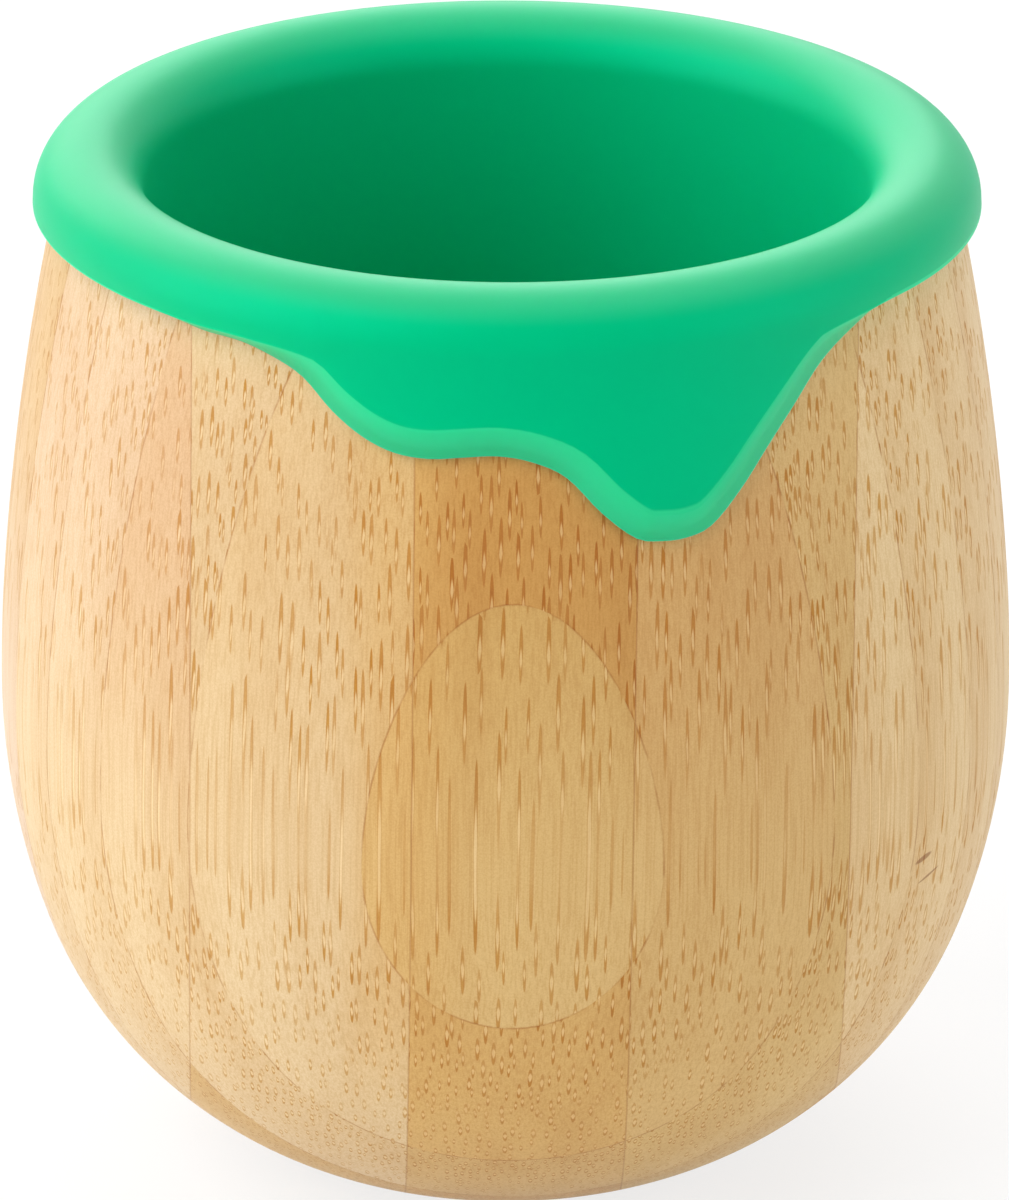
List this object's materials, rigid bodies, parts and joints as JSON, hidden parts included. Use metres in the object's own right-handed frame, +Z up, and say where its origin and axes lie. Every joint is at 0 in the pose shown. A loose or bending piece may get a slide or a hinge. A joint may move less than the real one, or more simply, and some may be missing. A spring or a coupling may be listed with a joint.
{
  "type": "bamboo cup",
  "caption": "Round-bellied bamboo tumbler turned from a glued block of strips, with a lift-out green silicone liner whose rolled lip runs down the front in a drip.",
  "frame": {"origin": "middle of the flat foot, on the surface that the cup stands on", "axes": "+Z up along the turning axis, -Y towards the front, where the drip hangs, +X to the right seen from the front"},
  "size_m": [0.08, 0.08, 0.084],
  "materials": {
    "bamboo": "satin",
    "silicone": "satin"
  },
  "bodies": {
    "bamboo_body": {"strip_row01_facing": "bamboo", "strip_row13_facing": "bamboo", "strip_row02_left": "bamboo", "strip_row02_middle": "bamboo", "strip_row02_right": "bamboo", "strip_row03_far_left": "bamboo", "strip_row03_left": "bamboo", "strip_row03_middle": "bamboo", "strip_row03_right": "bamboo", "strip_row03_far_right": "bamboo", "strip_row04_far_left": "bamboo", "strip_row04_left": "bamboo", "strip_row04_middle": "bamboo", "strip_row04_right": "bamboo", "strip_row04_far_right": "bamboo", "strip_row05_far_left": "bamboo", "strip_row05_left": "bamboo", "strip_row05_middle": "bamboo", "strip_row05_right": "bamboo", "strip_row05_far_right": "bamboo", "strip_row06_far_left": "bamboo", "strip_row06_left": "bamboo", "strip_row06_middle": "bamboo", "strip_row06_right": "bamboo", "strip_row06_far_right": "bamboo", "strip_row07_far_left": "bamboo", "strip_row07_left": "bamboo", "strip_row07_middle": "bamboo", "strip_row07_right": "bamboo", "strip_row07_far_right": "bamboo", "strip_row08_far_left": "bamboo", "strip_row08_left": "bamboo", "strip_row08_middle": "bamboo", "strip_row08_right": "bamboo", "strip_row08_far_right": "bamboo", "strip_row09_far_left": "bamboo", "strip_row09_left": "bamboo", "strip_row09_middle": "bamboo", "strip_row09_right": "bamboo", "strip_row09_far_right": "bamboo", "strip_row10_far_left": "bamboo", "strip_row10_left": "bamboo", "strip_row10_middle": "bamboo", "strip_row10_right": "bamboo", "strip_row10_far_right": "bamboo", "strip_row11_far_left": "bamboo", "strip_row11_left": "bamboo", "strip_row11_middle": "bamboo", "strip_row11_right": "bamboo", "strip_row11_far_right": "bamboo", "strip_row12_left": "bamboo", "strip_row12_middle": "bamboo", "strip_row12_right": "bamboo"},
    "liner": {"silicone_liner": "silicone"}
  },
  "joints": [
    {"name": "liner_lift", "type": "slide", "parent": "bamboo_body", "child": "liner", "axis": [0, 0, 1], "range_m": [0, 0.09]}
  ]
}
